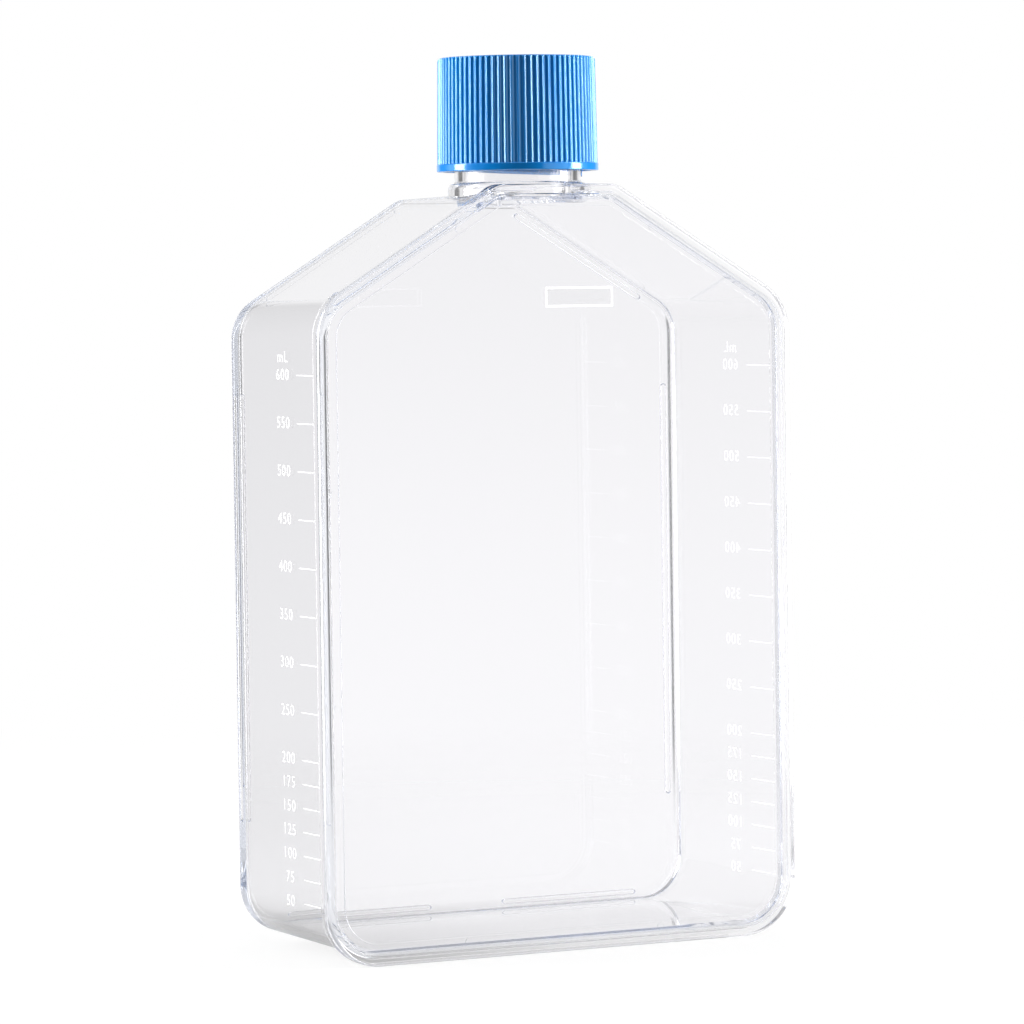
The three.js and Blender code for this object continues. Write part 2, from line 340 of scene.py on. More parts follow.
def tray_blank():
    """The outside of the flange and walls as one solid, front to back."""
    r = FLANGE_ROUNDING
    flange = [(0, r)] + fillet_across(0, r, r, -r)
    flange += [(FLANGE_DEPTH - r, 0)] + fillet(FLANGE_DEPTH - r, 0, r, r)
    rings = [body_ring(depth, inset, draft=False) for depth, inset in flange]
    foot = FLANGE_OVERHANG - FLANGE_FILLET
    walls = [(FLANGE_DEPTH, foot)]
    walls += fillet_across(FLANGE_DEPTH, foot, FLANGE_FILLET, FLANGE_FILLET)
    edge = BODY_DEPTH - BACK_ROUNDING
    walls += [(edge, FLANGE_OVERHANG)]
    walls += fillet(edge, FLANGE_OVERHANG, BACK_ROUNDING, BACK_ROUNDING)
    rings += [body_ring(depth, inset) for depth, inset in walls]
    return loft("flask_body", rings)


def tray_cavity():
    """The rabbet for the window and the room behind it, as one cutting solid."""
    lip = RIM_WIDTH - RIM_ROUNDING
    ledge = WINDOW_RECESS + WINDOW_THICKNESS + WELD_GAP
    mouth = [(-REACH, lip), (0, lip)] + fillet_across(0, lip, RIM_ROUNDING, RIM_ROUNDING)
    mouth.append((ledge, RIM_WIDTH))
    rings = [body_ring(depth, inset, draft=False) for depth, inset in mouth]
    inset = FLANGE_OVERHANG + WALL
    r = ROOM_ROUNDING
    floor = BODY_DEPTH - WALL
    room = [(ledge, inset), (floor - r, inset)] + fillet(floor - r, inset, r, r)
    rings += [body_ring(depth, inset) for depth, inset in room]
    return loft("cavity", rings)


def ridge_bar(x0, z0, x1, z1):
    """A low bar with round ends on the back wall, its outer edge rounded."""
    along = math.atan2(z1 - z0, x1 - x0)
    rings = []
    edge = BODY_DEPTH + RIDGE_HEIGHT - RIDGE_EDGE
    steps = [(BODY_DEPTH - WALL / 2, 0), (edge, 0)] + fillet(edge, 0, RIDGE_EDGE, RIDGE_EDGE)
    for depth, inset in steps:
        ring = []
        for centre_x, centre_z, turn in ((x1, z1, -0.5), (x0, z0, 0.5)):
            for i in range(CORNER_STEPS + 1):
                angle = along + math.pi * (turn + i / CORNER_STEPS)
                radius = RIDGE_WIDTH / 2 - inset
                ring.append((
                    centre_x + radius * math.cos(angle), FRONT_Y + depth,
                    centre_z + radius * math.sin(angle),
                ))
        rings.append(ring)
    return loft("ridge", rings)


def stacking_ridges():
    low, high = RIDGE_SIDE_RUN
    foot_near, foot_far = RIDGE_FOOT_RUN
    near, far = RIDGE_SHOULDER_RUN
    runs = [
        (RIDGE_SIDE_X, low, RIDGE_SIDE_X, high),
        (foot_near, RIDGE_INSET, foot_far, RIDGE_INSET),
        (near, shoulder_z(near, RIDGE_INSET), far, shoulder_z(far, RIDGE_INSET)),
    ]
    return [ridge_bar(side * x0, z0, side * x1, z1)
            for side in (-1, 1) for x0, z0, x1, z1 in runs]


def quarter(radius, height, out, up, steps=ROUNDING_STEPS):
    """(radius, height) steps of a convex quarter round that goes up and in to radius, height."""
    points = []
    for i in range(steps + 1):
        angle = math.pi / 2 * i / steps
        points.append((radius + out * math.cos(angle), height - up * (1 - math.sin(angle))))
    return points


def neck_blank():
    root = shoulder_z(COLLAR_RADIUS, FLANGE_OVERHANG) - WALL
    swell = COLLAR_RADIUS - NECK_RADIUS
    profile = [(COLLAR_RADIUS, root)]
    profile += quarter(NECK_RADIUS + NECK_FILLET, COLLAR_TOP, swell - NECK_FILLET, swell)
    profile += [
        (NECK_RADIUS + NECK_FILLET_MIDDLE, COLLAR_TOP + NECK_FILLET_MIDDLE),
        (NECK_RADIUS, COLLAR_TOP + NECK_FILLET),
    ]
    profile += quarter(NECK_RADIUS - LIP_ROUNDING, LIP_Z, LIP_ROUNDING, LIP_ROUNDING)
    return turned("neck", profile)


def neck_bore():
    bottom = BODY_HEIGHT - FLANGE_OVERHANG - 3 * WALL
    r = LIP_ROUNDING
    profile = [(NECK_BORE_RADIUS, bottom), (NECK_BORE_RADIUS, LIP_Z - r)]
    profile += fillet_across(NECK_BORE_RADIUS, LIP_Z - r, r, r)
    profile.append((NECK_BORE_RADIUS + r, LIP_Z + REACH))
    return turned("bore", profile)


def thread(name, root, crest, start, turns, section):
    """A screw ridge as one closed strip: root and crest are radii, and it runs out at both ends."""
    half_foot, half_crest = section
    profile = ((0, -half_foot), (1, -half_crest), (1, half_crest), (0, half_foot))
    steps = int(TURNED_SIDES * turns)
    rings = []
    for i in range(steps + 1):
        share = i / steps
        angle = 2 * math.pi * turns * share
        fade = min(1, THREAD_RUNOUTS * share, THREAD_RUNOUTS * (1 - share))
        height = start + THREAD_LEAD * turns * share
        rise = THREAD_LEAST + (1 - THREAD_LEAST) * math.sin(fade * math.pi / 2)
        top = root + (crest - root) * rise
        foot = root - math.copysign(THREAD_ROOT_DEPTH, crest - root)
        ring = []
        for at_crest, lift in profile:
            radius = top if at_crest else foot
            ring.append((
                radius * math.cos(angle), NECK_Y + radius * math.sin(angle), height + lift))
        rings.append(ring)
    return loft(name, rings)


def make_tray():
    tray = tray_blank()
    ridge = thread(
        "neck_thread", NECK_RADIUS, THREAD_CREST, THREAD_START, THREAD_TURNS, THREAD_SECTION)
    combine(tray, "UNION", [neck_blank(), ridge] + stacking_ridges())
    combine(tray, "DIFFERENCE", [tray_cavity(), neck_bore()])
    return smoothed(tray)


# ---- The window -------------------------------------------------------------------------------

def make_window():
    """The welded front plate, with the marks of its mould's ejector pins in its border."""
    near = WINDOW_RECESS
    border = near + WINDOW_STEP
    far = near + WINDOW_THICKNESS
    inset = RIM_WIDTH + WELD_GAP
    inner = inset + WINDOW_BORDER
    r = WINDOW_ROUNDING
    steps = [(near, inner + WINDOW_STEP)]
    steps += fillet_across(near, inner + WINDOW_STEP, WINDOW_STEP, -WINDOW_STEP)
    steps += [(border, inset + r)] + fillet_across(border, inset + r, r, -r)
    steps += [(far - r, inset)] + fillet(far - r, inset, r, r)
    plate = loft("front_window", [body_ring(depth, i, draft=False) for depth, i in steps])
    combine(plate, "UNION", [ejector_mark(x, z) for x, z in ejector_places()])
    return smoothed(plate)


def ejector_places():
    """Eight places in the window's border: two up each side, one on each shoulder, two below."""
    reach = RIM_WIDTH + WELD_GAP + WINDOW_BORDER / 2
    side = WIDTH / 2 - reach
    places = []
    for x in (-side, side):
        places += [(x, z) for z in MARK_HEIGHTS]
    for x in (-MARK_X, MARK_X):
        places += [(x, reach), (x, shoulder_z(abs(x), reach))]
    return places


def ejector_mark(x, z):
    """A low round stud that stands up out of the border."""
    rings = []
    for depth in (WINDOW_RECESS + WINDOW_THICKNESS / 2, WINDOW_RECESS + MARK_DEPTH):
        ring = []
        for i in range(2 * CORNER_STEPS):
            angle = math.pi * i / CORNER_STEPS
            ring.append((
                x + MARK_RADIUS * math.cos(angle), FRONT_Y + depth,
                z + MARK_RADIUS * math.sin(angle),
            ))
        rings.append(ring)
    return loft("mark", rings)


# ---- The cap ----------------------------------------------------------------------------------

def ribbed_ring(height):
    """The ribs in section: a wave with narrow crests and wide hollows between them."""
    scale = 1 - RIB_DRAFT * (height - CAP_BOTTOM) / (CAP_TOP - CAP_BOTTOM)
    ring = []
    for i in range(RIB_COUNT * RIB_STEPS):
        angle = 2 * math.pi * i / (RIB_COUNT * RIB_STEPS)
        wave = (0.5 + 0.5 * math.cos(RIB_COUNT * angle)) ** RIB_SHARPNESS
        radius = (RIB_ROOT + (RIB_CREST - RIB_ROOT) * wave) * scale
        ring.append((radius * math.cos(angle), NECK_Y + radius * math.sin(angle), height))
    return ring


def ribbed_blank():
    """Ribs all round, trimmed to a turned shell whose top edge is rounded."""
    shell = loft("cap_shell", [
        ribbed_ring(CAP_BOTTOM + RIBS_START), ribbed_ring(CAP_TOP + SHORT_REACH)])
    top = RIB_CREST * (1 - RIB_DRAFT)
    wide = RIB_CREST + SHORT_REACH
    profile = [(wide, CAP_BOTTOM), (wide, CAP_TOP - TRIM_DEPTH)]
    profile += quarter(top - CAP_EDGE, CAP_TOP, CAP_EDGE, CAP_EDGE, steps=2 * ROUNDING_STEPS)
    trim = turned("trim", profile, sides=RIB_COUNT * TRIM_STEPS)
    return combine(shell, "INTERSECT", [trim])


def cap_band():
    """The plain band at the cap's lower edge."""
    top = CAP_BOTTOM + CAP_BAND_HEIGHT
    r = CAP_BAND_ROUNDING
    profile = [(CAP_BAND_RADIUS - r, CAP_BOTTOM)]
    profile += fillet(CAP_BAND_RADIUS - r, CAP_BOTTOM, r, r)
    profile += quarter(CAP_BAND_RADIUS - r, top, r, r)
    return turned("band", profile)


def cap_bore():
    """The room inside the cap, round the plug ring, but for a thin core in its middle."""
    below = CAP_BOTTOM - REACH
    plug_end = CAP_CEILING - PLUG_LENGTH
    mouth = CAP_BORE + CAP_MOUTH
    core = CORE_RADIUS
    return turned("room", [
        (mouth, below), (mouth, CAP_BOTTOM), (CAP_BORE, CAP_BOTTOM + CAP_MOUTH),
        (CAP_BORE, CAP_CEILING), (PLUG_RADIUS, CAP_CEILING), (PLUG_RADIUS - PLUG_TAPER, plug_end),
        (PLUG_INNER, plug_end), (PLUG_INNER, CAP_CEILING), (core, CAP_CEILING), (core, below),
    ], ring_shaped=True)


def cap_core():
    """The thin core that cap_bore leaves, and a little more."""
    radius = 2 * CORE_RADIUS
    ends = [(radius, CAP_BOTTOM - REACH), (radius, CAP_CEILING)]
    return turned("core", ends, sides=CORE_SIDES)


def cap_dish():
    floor = CAP_TOP - DISH_DEPTH
    bevel_width, bevel_height = DISH_BEVEL
    return turned("dish", [
        (DISH_RADIUS - bevel_width, floor), (DISH_RADIUS, floor + bevel_height),
        (DISH_RADIUS + DISH_FLARE, CAP_TOP), (DISH_RADIUS + 2 * DISH_FLARE, CAP_TOP + SHORT_REACH),
    ])


def vent_slot(turn):
    """A slot with round ends through the cap's top, at an angle of turn about the middle."""
    half = VENT_WIDTH / 2
    rings = []
    for height in (CAP_CEILING - SHORT_REACH, CAP_TOP + SHORT_REACH):
        ring = []
        for centre, start in ((VENT_OUTER, -0.5), (VENT_INNER, 0.5)):
            for i in range(CORNER_STEPS + 1):
                angle = math.pi * (start + i / CORNER_STEPS)
                point = Vector((centre + half * math.cos(angle), half * math.sin(angle)))
                point = Matrix.Rotation(turn, 2) @ point
                ring.append((point.x, NECK_Y + point.y, height))
        rings.append(ring)
    return loft("slot", rings)


def make_cap():
    cap = ribbed_blank()
    combine(cap, "UNION", [cap_band()])
    slots = [vent_slot(2 * math.pi * i / VENT_COUNT) for i in range(VENT_COUNT)]
    combine(cap, "DIFFERENCE", [cap_bore(), cap_core(), cap_dish()] + slots)
    ridge = thread(
        "cap_thread", CAP_BORE, CAP_THREAD_CREST, CAP_THREAD_START, CAP_THREAD_TURNS,
        CAP_THREAD_SECTION)
    combine(cap, "UNION", [ridge])
    return smoothed(cap)


# ---- Print ------------------------------------------------------------------------------------

FIRST_MARK_Z = 12.8 * MM     # height of the 50 ml line
MARK_STEP = 10.42 * MM       # for every 50 ml
INK = 0.03 * MM
NUMERAL_HEIGHT = 2.6 * MM
NUMERAL_SHARE = 0.73         # of the font's size
NUMERAL_DEPTH = 22.3 * MM    # of their middles, from the flask's front
LETTER_THINNING = 0.01       # of the numerals' height
LETTER_SPACING = 1.15
LETTER_STRETCH = 1.15
UNIT_RISE = 3.9 * MM
TICK_NEAR = 5 * MM
TICK_FAR = 15.2 * MM
TICK_HEIGHT = 0.21 * MM


def on_side_wall(side, depth, z, proud):
    """A point just proud of a side wall's outer face."""
    x, _ = drafted((WIDTH / 2 - FLANGE_OVERHANG, z), depth)
    return side * (x + proud), FRONT_Y + depth, z


def flat_text(text, height):
    """A line of lettering as a flat mesh in the XY plane, centred on the origin."""
    curve = bpy.data.curves.new("lettering", "FONT")
    curve.body = text
    curve.align_x = "CENTER"
    curve.align_y = "CENTER"
    curve.size = height / NUMERAL_SHARE
    curve.offset = -LETTER_THINNING * height
    curve.space_character = LETTER_SPACING
    curve.extrude = INK / 2
    curve.resolution_u = 4
    obj = bpy.data.objects.new("lettering", curve)
    bpy.context.scene.collection.objects.link(obj)
    bpy.context.view_layer.update()
    graph = bpy.context.evaluated_depsgraph_get()
    mesh = bpy.data.meshes.new_from_object(obj.evaluated_get(graph), depsgraph=graph)
    bpy.data.objects.remove(obj)
    for vertex in mesh.vertices:
        vertex.co.x *= LETTER_STRETCH
    return mesh


def side_scale(side):
    """Volume lines and numerals on a side wall, to be read from outside."""
    vertices = []
    faces = []
    box_faces = [(0, 1, 2, 3), (7, 6, 5, 4), (0, 4, 5, 1), (1, 5, 6, 2), (2, 6, 7, 3), (3, 7, 4, 0)]

    def add(points, polygons):
        base = len(vertices)
        vertices.extend(points)
        faces.extend(tuple(base + i for i in polygon) for polygon in polygons)

    volumes = [*range(50, 200, 25), *range(200, 601, 50)]
    labels = [(str(v), FIRST_MARK_Z + MARK_STEP * (v - 50) / 50) for v in volumes]
    top = labels[-1][1]
    for text, z in labels + [("mL", top + UNIT_RISE)]:
        mesh = flat_text(text, NUMERAL_HEIGHT)
        points = []
        for vertex in mesh.vertices:
            depth = NUMERAL_DEPTH + side * vertex.co.x
            points.append(on_side_wall(side, depth, z + vertex.co.y, INK + vertex.co.z))
        add(points, [tuple(p.vertices) for p in mesh.polygons])
    for _, z in labels:
        corners = []
        for proud in (INK / 2, 1.5 * INK):
            for depth, lift in ((TICK_NEAR, -1), (TICK_FAR, -1), (TICK_FAR, 1), (TICK_NEAR, 1)):
                corners.append(on_side_wall(side, depth, z + lift * TICK_HEIGHT / 2, proud))
        add(corners, box_faces)
    return new_object("scale_left" if side < 0 else "scale_right", vertices, faces)


PATCH_CENTRE = (5.4 * MM, 143.5 * MM)
PATCH_SIZE = (16.8 * MM, 4.4 * MM)
PATCH_LINE = 0.42 * MM
PATCH_GAP = 0.02 * MM        # between the outline and the frosted field


def patch_ring(half_x, half_z, proud):
    """The corners of a rectangle round the patch's middle, just proud of the window."""
    x, z = PATCH_CENTRE
    return [(x + sx * half_x, PLATE_LOW.y - proud, z + sz * half_z)
            for sx, sz in ((-1, -1), (1, -1), (1, 1), (-1, 1))]


def patch_frame():
    """The printed outline of the blank patch on the window."""
    rings = []
    for proud in (0.5 * INK, 1.5 * INK):
        for grow in (0, -PATCH_LINE):
            rings.append(patch_ring(PATCH_SIZE[0] / 2 + grow, PATCH_SIZE[1] / 2 + grow, proud))
    outer_low, inner_low, outer_high, inner_high = rings
    return loft("patch_frame", [outer_low, outer_high, inner_high, inner_low], looped=True)


def patch_field():
    """The frosted field inside the outline."""
    half_x = PATCH_SIZE[0] / 2 - PATCH_LINE - PATCH_GAP
    half_z = PATCH_SIZE[1] / 2 - PATCH_LINE - PATCH_GAP
    rings = [patch_ring(half_x, half_z, proud) for proud in (0.5 * INK, 1.2 * INK)]
    return loft("patch_field", rings)


# ---- Materials --------------------------------------------------------------------------------

def material(name):
    made = bpy.data.materials.new(name)
    made.use_nodes = True
    nodes = made.node_tree.nodes
    return made, nodes, made.node_tree.links, nodes["Principled BSDF"]


def noise(nodes, links, scale, detail=2.0):
    place = nodes.new("ShaderNodeTexCoord")
    texture = nodes.new("ShaderNodeTexNoise")
    texture.inputs["Scale"].default_value = scale
    texture.inputs["Detail"].default_value = detail
    links.new(place.outputs["Object"], texture.inputs["Vector"])
    return texture


def ramp(nodes, links, source, low, high, from_low=0.3, from_high=0.7):
    spread = nodes.new("ShaderNodeMapRange")
    spread.inputs["From Min"].default_value = from_low
    spread.inputs["From Max"].default_value = from_high
    spread.inputs["To Min"].default_value = low
    spread.inputs["To Max"].default_value = high
    links.new(source, spread.inputs["Value"])
    return spread.outputs["Result"]


def bump(nodes, links, source, shader, strength, distance):
    node = nodes.new("ShaderNodeBump")
    node.inputs["Strength"].default_value = strength
    node.inputs["Distance"].default_value = distance
    links.new(source, node.inputs["Height"])
    links.new(node.outputs["Normal"], shader.inputs["Normal"])
    return node


def polystyrene(name):
    """Water-clear polystyrene with the faint swell of a moulding and a blue-grey depth."""
    made, nodes, links, shader = material(name)
    shader.inputs["Base Color"].default_value = (0.988, 0.985, 0.996, 1)
    shader.inputs["Transmission Weight"].default_value = 1
    shader.inputs["IOR"].default_value = 1.59
    shader.inputs["Roughness"].default_value = 0
    swell = noise(nodes, links, 25, 1)
    bump(nodes, links, swell.outputs["Fac"], shader, 0.1, 0.1 * MM)
    depth = nodes.new("ShaderNodeVolumeAbsorption")
    depth.inputs["Color"].default_value = (0.79, 0.83, 0.91, 1)
    depth.inputs["Density"].default_value = 7
    links.new(depth.outputs["Volume"], nodes["Material Output"].inputs["Volume"])
    return made


def blue_plastic():
    made, nodes, links, shader = material("cap_blue")
    tone = noise(nodes, links, 60)
    mix = nodes.new("ShaderNodeMix")
    mix.data_type = "RGBA"
    mix.inputs["A"].default_value = (0.0, 0.22, 0.74, 1)
    mix.inputs["B"].default_value = (0.001, 0.28, 0.82, 1)
    links.new(tone.outputs["Fac"], mix.inputs["Factor"])
    links.new(mix.outputs["Result"], shader.inputs["Base Color"])
    grain = noise(nodes, links, 900)
    links.new(ramp(nodes, links, grain.outputs["Fac"], 0.09, 0.16), shader.inputs["Roughness"])
    bump(nodes, links, grain.outputs["Fac"], shader, 0.12, 0.02 * MM)
    shader.inputs["IOR"].default_value = 1.6
    shader.inputs["Specular IOR Level"].default_value = 1
    shader.inputs["Specular Tint"].default_value = (0.6, 0.9, 1, 1)
    return made


def white_ink(name, painted_glow):
    """White print with a painted glow: an emission that stands in for the light its thin film lets
    through from behind.
    """
    made, nodes, links, shader = material(name)
    shader.inputs["Base Color"].default_value = (0.96, 0.96, 0.97, 1)
    shader.inputs["Emission Color"].default_value = (1, 1, 1, 1)
    # Painted light: the print gives off light of its own, though it is no lamp.
    shader.inputs["Emission Strength"].default_value = painted_glow
    grain = noise(nodes, links, 1500)
    links.new(ramp(nodes, links, grain.outputs["Fac"], 0.4, 0.6), shader.inputs["Roughness"])
    bump(nodes, links, grain.outputs["Fac"], shader, 0.2, 0.02 * MM)
    return made


def frosted_field():
    made, nodes, links, shader = material("patch_field")
    shader.inputs["Base Color"].default_value = (0.85, 0.85, 0.87, 1)
    shader.inputs["Alpha"].default_value = 0.12
    grain = noise(nodes, links, 1500)
    links.new(ramp(nodes, links, grain.outputs["Fac"], 0.5, 0.7), shader.inputs["Roughness"])
    bump(nodes, links, grain.outputs["Fac"], shader, 0.3, 0.02 * MM)
    return made


def membrane_film():
    made, nodes, links, shader = material("membrane_film")
    fibre = noise(nodes, links, 2500, 6)
    mix = nodes.new("ShaderNodeMix")
    mix.data_type = "RGBA"
    mix.inputs["A"].default_value = (0.86, 0.86, 0.84, 1)
    mix.inputs["B"].default_value = (0.97, 0.97, 0.95, 1)
    links.new(fibre.outputs["Fac"], mix.inputs["Factor"])
    links.new(mix.outputs["Result"], shader.inputs["Base Color"])
    shader.inputs["Roughness"].default_value = 0.9
    bump(nodes, links, fibre.outputs["Fac"], shader, 0.5, 0.05 * MM)
    return made


def paint(obj, finish):
    obj.data.materials.clear()
    obj.data.materials.append(finish)


# ---- The studio -------------------------------------------------------------------------------

# The camera's bearing, in radians. Everything else in the studio stands round the flask at angles
# from the camera, in degrees.
VIEW_YAW = 0.4869
VIEW_PITCH = 0.0464
VIEW_ROLL = -0.0138

# Level of the room, and the round cards in it that light and reflections see: (bearing, half
# angle, level) of each, and (half angle, level) of the one overhead.
AMBIENT = 0.22
CARDS = ((0, 48, 0.05), (56, 18, 1.0), (-105, 18, 0.78), (180, 32, 0.92))
TOP_CARD = (52, 0.7)
CARD_SOFTNESS = 4

# Levels seen through the flask: behind it, below and above the horizon, and round about.
SEEN_BELOW = 1.0
SEEN_THROUGH = 0.91
HORIZON = (-0.09, 0.03)     # slope of the line of sight where one turns into the other
BEHIND_ANGLE = 38
BEHIND_SOFTNESS = 8
SEEN_ROUND = 0.8
# Flags that darken them, given as the cards are.
FLAGS = ((144, 9, 0.15), (-144, 9, 0.15))
TOP_FLAG = (54, 0.45)

# The table. It fades out between two shares of its radius, and its level changes from left to
# right over a reach from its middle, which is a share of its radius too.
FLOOR_RADIUS = 0.6
FLOOR_SIDES = 96
FLOOR_FADE = (0.35, 0.95)
FLOOR_REACH = 0.4
# Seen through the flask the table is painted darker at left than at right, as shade.
FLOOR_THROUGH = (0.58, 0.72)    # level seen through the flask, at left and at right
FLOOR_MIRRORED = (0.12, 0.85)   # level in reflections
FLOOR_TO_LIGHT = 0.02           # what it gives off besides what it reflects
FLOOR_SEEN = 0.82               # the same, to the camera
FLOOR_GREY = 0.2
# Seen through the flask it is darker round the flask's left end, a painted shadow: a factor and how
# far from there.
CONTACT_SHADE_LEVELS = (0.55, 1)
CONTACT_SHADE_RADII = (0.02, 0.07)
FLASK_HALF = 58.5 * MM

# Soft boxes: name, bearing, distance, width, height, radiance.
BOXES = (
    ("left_box", -92, 0.9, 0.8, 1.2, 0.4),
    ("left_core", -90, 0.87, 0.3, 1.15, 12),
    ("right_box", 92, 0.9, 0.8, 1.2, 0.4),
    ("right_core", 92, 0.87, 0.3, 1.15, 13.5),
)
BOX_DROP = 0.3      # how far they reach below the table top


def bearing(degrees):
    """A level unit vector, so many degrees to the right of the way from flask to camera."""
    turn = math.radians(degrees) - VIEW_YAW - math.pi / 2
    return Vector((math.cos(turn), math.sin(turn), 0))


def light_path(nodes, kind):
    """1 for rays of the kind, else 0."""
    return nodes.new("ShaderNodeLightPath").outputs[kind]


def blend_value(nodes, links, factor, low, high):
    """low where factor is 0 and high where it is 1; either end is a number or a socket."""
    mix = nodes.new("ShaderNodeMix")
    mix.data_type = "FLOAT"
    links.new(factor, mix.inputs["Factor"])
    for value, socket in ((low, mix.inputs["A"]), (high, mix.inputs["B"])):
        if isinstance(value, (int, float)):
            socket.default_value = value
        else:
            links.new(value, socket)
    return mix.outputs["Result"]


def round_card(nodes, links, direction, towards, half_angle, soft=CARD_SOFTNESS):
    """1 inside a round patch of the surroundings, 0 outside it, with an edge of some degrees."""
    dot = nodes.new("ShaderNodeVectorMath")
    dot.operation = "DOT_PRODUCT"
    links.new(direction, dot.inputs[0])
    dot.inputs[1].default_value = towards
    edge = nodes.new("ShaderNodeMapRange")
    edge.interpolation_type = "SMOOTHSTEP"
    edge.inputs["From Min"].default_value = math.cos(math.radians(half_angle + soft))
    edge.inputs["From Max"].default_value = math.cos(math.radians(half_angle - soft))
    links.new(dot.outputs["Value"], edge.inputs["Value"])
    return edge.outputs["Result"]


def placed(cards, overhead):
    """The cards with directions for bearings, and the overhead one with them."""
    return [(bearing(turn), half_angle, level) for turn, half_angle, level in cards] + [
        (Vector((0, 0, 1)), *overhead)]


def make_world():
    """White where it is looked at; to light and to reflections, a dim room with pale cards."""
    world = bpy.data.worlds.new("studio")
    bpy.context.scene.world = world
    world.use_nodes = True
    nodes = world.node_tree.nodes
    links = world.node_tree.links
    background = nodes["Background"]
    background.inputs["Color"].default_value = (1, 1, 1, 1)
    direction = nodes.new("ShaderNodeTexCoord").outputs["Generated"]
    level = AMBIENT
    for towards, half_angle, brightness in placed(CARDS, TOP_CARD):
        card = round_card(nodes, links, direction, towards, half_angle)
        level = blend_value(nodes, links, card, level, brightness)
    split = nodes.new("ShaderNodeSeparateXYZ")
    links.new(direction, split.inputs["Vector"])
    sweep = ramp(nodes, links, split.outputs["Z"], SEEN_BELOW, SEEN_THROUGH, *HORIZON)
    sweep.node.interpolation_type = "SMOOTHSTEP"
    behind = round_card(nodes, links, direction, bearing(180), BEHIND_ANGLE, BEHIND_SOFTNESS)
    seen = blend_value(nodes, links, behind, SEEN_ROUND, sweep)
    for towards, half_angle, brightness in placed(FLAGS, TOP_FLAG):
        flag = round_card(nodes, links, direction, towards, half_angle)
        seen = blend_value(nodes, links, flag, seen, brightness)
    level = blend_value(nodes, links, light_path(nodes, "Is Transmission Ray"), level, seen)
    level = blend_value(nodes, links, light_path(nodes, "Is Camera Ray"), level, 1)
    links.new(level, background.inputs["Strength"])


def make_floor():
    """A pale round table top that keeps the flask's shadow and fades into the white background."""
    turns = [2 * math.pi * i / FLOOR_SIDES for i in range(FLOOR_SIDES)]
    ring = [(FLOOR_RADIUS * math.cos(turn), FLOOR_RADIUS * math.sin(turn), 0) for turn in turns]
    floor = new_object("floor", ring, [tuple(range(FLOOR_SIDES))])
    finish = bpy.data.materials.new("floor")
    finish.use_nodes = True
    nodes = finish.node_tree.nodes
    links = finish.node_tree.links
    nodes.clear()
    place = nodes.new("ShaderNodeTexCoord")
    length = nodes.new("ShaderNodeVectorMath")
    length.operation = "LENGTH"
    links.new(place.outputs["Object"], length.inputs[0])
    fade_start, fade_end = (share * FLOOR_RADIUS for share in FLOOR_FADE)
    edge = ramp(nodes, links, length.outputs["Value"], 0, 1, fade_start, fade_end)
    edge.node.interpolation_type = "SMOOTHSTEP"
    glossy = light_path(nodes, "Is Glossy Ray")
    through = light_path(nodes, "Is Transmission Ray")
    camera = light_path(nodes, "Is Camera Ray")
    lean = nodes.new("ShaderNodeVectorMath")
    lean.operation = "DOT_PRODUCT"
    links.new(place.outputs["Object"], lean.inputs[0])
    lean.inputs[1].default_value = bearing(90)
    reach = FLOOR_REACH * FLOOR_RADIUS
    # Painted shade: seen through the flask, the table's level falls towards the left.
    seen = ramp(nodes, links, lean.outputs["Value"], *FLOOR_THROUGH, -reach, 0)
    mirrored = ramp(nodes, links, lean.outputs["Value"], *FLOOR_MIRRORED, -reach, reach)
    # A painted shadow on the floor seen through the flask, darker round the flask's left end.
    painted_shade_spot = nodes.new("ShaderNodeVectorMath")
    painted_shade_spot.operation = "DISTANCE"
    links.new(place.outputs["Object"], painted_shade_spot.inputs[0])
    painted_shade_spot.inputs[1].default_value = (-FLASK_HALF, 0, 0)
    painted_contact_shade = ramp(nodes, links, painted_shade_spot.outputs["Value"], *CONTACT_SHADE_LEVELS, *CONTACT_SHADE_RADII)
    shaded = nodes.new("ShaderNodeMath")
    shaded.operation = "MULTIPLY"
    links.new(seen, shaded.inputs[0])
    links.new(painted_contact_shade, shaded.inputs[1])
    near_level = blend_value(nodes, links, glossy, FLOOR_TO_LIGHT, mirrored)
    near_level = blend_value(nodes, links, through, near_level, shaded.outputs["Value"])
    near_level = blend_value(nodes, links, camera, near_level, FLOOR_SEEN)
    paper = nodes.new("ShaderNodeBsdfDiffuse")
    paper.inputs["Color"].default_value = (FLOOR_GREY, FLOOR_GREY, FLOOR_GREY, 1)
    near_glow = nodes.new("ShaderNodeEmission")
    links.new(near_level, near_glow.inputs["Strength"])
    far_glow = nodes.new("ShaderNodeEmission")
    clear = nodes.new("ShaderNodeBsdfTransparent")
    beyond = nodes.new("ShaderNodeMixShader")
    links.new(camera, beyond.inputs["Fac"])
    links.new(clear.outputs["BSDF"], beyond.inputs[1])
    links.new(far_glow.outputs["Emission"], beyond.inputs[2])
    near = nodes.new("ShaderNodeAddShader")
    links.new(paper.outputs["BSDF"], near.inputs[0])
    links.new(near_glow.outputs["Emission"], near.inputs[1])
    both = nodes.new("ShaderNodeMixShader")
    links.new(edge, both.inputs["Fac"])
    links.new(near.outputs["Shader"], both.inputs[1])
    links.new(beyond.outputs["Shader"], both.inputs[2])
    out = nodes.new("ShaderNodeOutputMaterial")
    links.new(both.outputs["Shader"], out.inputs["Surface"])
    paint(floor, finish)


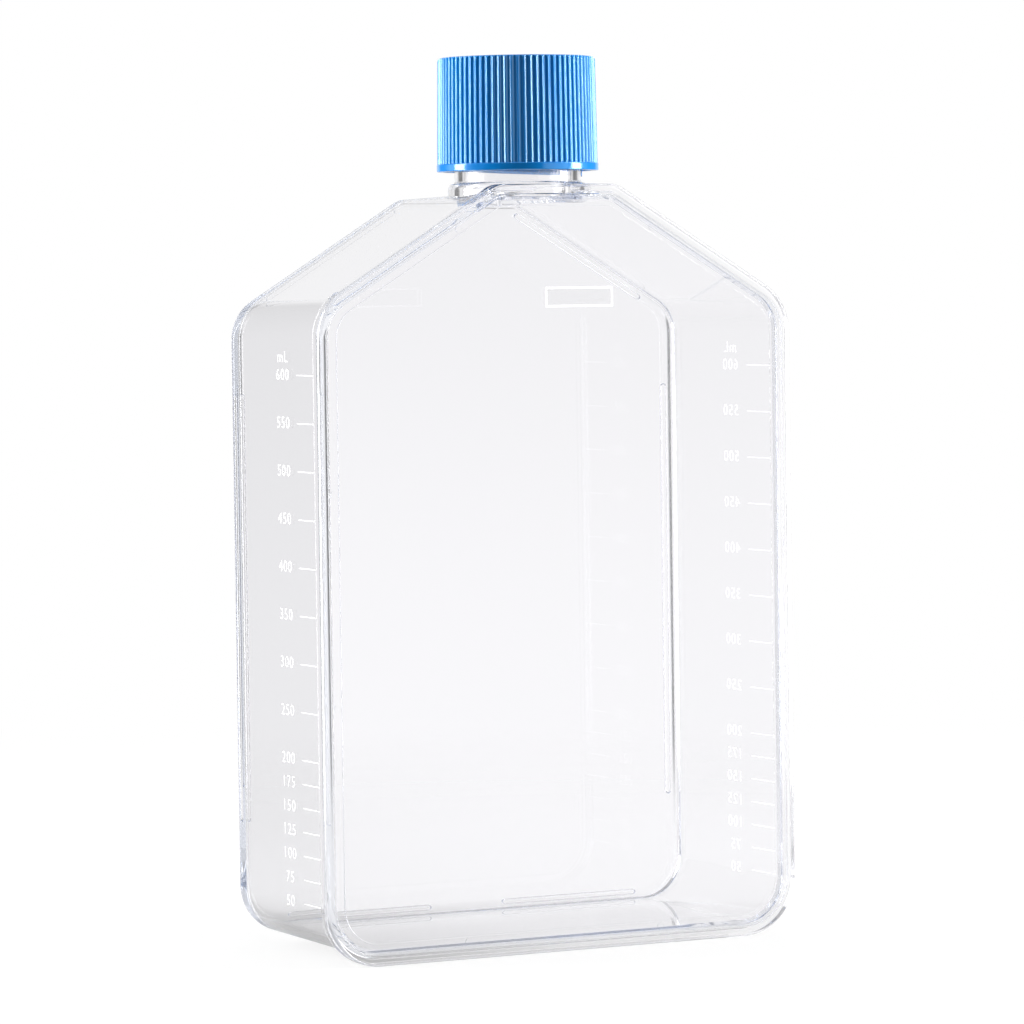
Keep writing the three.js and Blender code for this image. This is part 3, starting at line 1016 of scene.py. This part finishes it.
def softbox(name, degrees, distance, width, height, radiance):
    """An upright soft box beside the table, with an even radiance over its face."""
    light = bpy.data.lights.new(name, "AREA")
    light.shape = "RECTANGLE"
    light.size = width
    light.size_y = height
    light.energy = radiance * math.pi * width * height
    obj = bpy.data.objects.new(name, light)
    bpy.context.scene.collection.objects.link(obj)
    obj.location = bearing(degrees) * distance + Vector((0, 0, height / 2 - BOX_DROP))
    obj.rotation_euler = (-bearing(degrees)).to_track_quat("-Z", "Y").to_euler()


def make_lights():
    """One tall soft box on either side, each with a brighter strip down its middle."""
    for box in BOXES:
        softbox(*box)


# The camera stands to the left of the flask's front and above its middle, with a long lens.
CAMERA_X = -532.9 * MM
CAMERA_DEPTH = -983.0 * MM  # from the flask's front
CAMERA_Z = 148.6 * MM
SENSOR_WIDTH = 36
FOCAL_SHARE = 5.0           # focal length in sensor widths


def make_camera():
    camera = bpy.data.cameras.new("camera")
    camera.sensor_width = SENSOR_WIDTH
    camera.lens = FOCAL_SHARE * SENSOR_WIDTH
    obj = bpy.data.objects.new("camera", camera)
    bpy.context.scene.collection.objects.link(obj)
    ahead = Vector((
        math.sin(VIEW_YAW) * math.cos(VIEW_PITCH),
        math.cos(VIEW_YAW) * math.cos(VIEW_PITCH), -math.sin(VIEW_PITCH)))
    level = Vector((math.cos(VIEW_YAW), -math.sin(VIEW_YAW), 0))
    upward = level.cross(ahead)
    right = level * math.cos(VIEW_ROLL) + upward * math.sin(VIEW_ROLL)
    up = upward * math.cos(VIEW_ROLL) - level * math.sin(VIEW_ROLL)
    turn = Matrix((right, up, -ahead)).transposed()
    place = Matrix.Translation((CAMERA_X, FRONT_Y + CAMERA_DEPTH, CAMERA_Z))
    obj.matrix_world = place @ turn.to_4x4()
    bpy.context.scene.camera = obj


# ---- Assembly ---------------------------------------------------------------------------------

make_camera()
make_world()
make_floor()
make_lights()

tray = make_tray()
paint(tray, polystyrene("clear_tray"))
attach(tray, "flask")
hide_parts("flask_tray")

window = make_window()
paint(window, polystyrene("clear_window"))
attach(window, "flask")
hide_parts("front_plate")

cap = make_cap()
paint(cap, blue_plastic())
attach(cap, "cap")
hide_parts("cap")

paint(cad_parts["vent_membrane"], membrane_film())

# The print's painted glow is set per piece: weak on the left wall's scale, and stronger on the
# right wall's scale and the patch outline.
for print_piece, painted_glow in ((side_scale(-1), 0.2), (side_scale(1), 0.9), (patch_frame(), 0.7)):
    paint(print_piece, white_ink("ink_on_" + print_piece.name, painted_glow))
    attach(print_piece, "flask")
field = patch_field()
paint(field, frosted_field())
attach(field, "flask")

bpy.context.scene.view_settings.view_transform = "Standard"

# Light runs a long way inside the clear rim before it comes out, and the lamps seen at the end of
# such a way would leave specks in it.
BOUNCES = 200
CLAMP = 3.5
cycles = bpy.context.scene.cycles
cycles.max_bounces = BOUNCES
cycles.glossy_bounces = BOUNCES
cycles.transmission_bounces = BOUNCES
cycles.sample_clamp_indirect = CLAMP
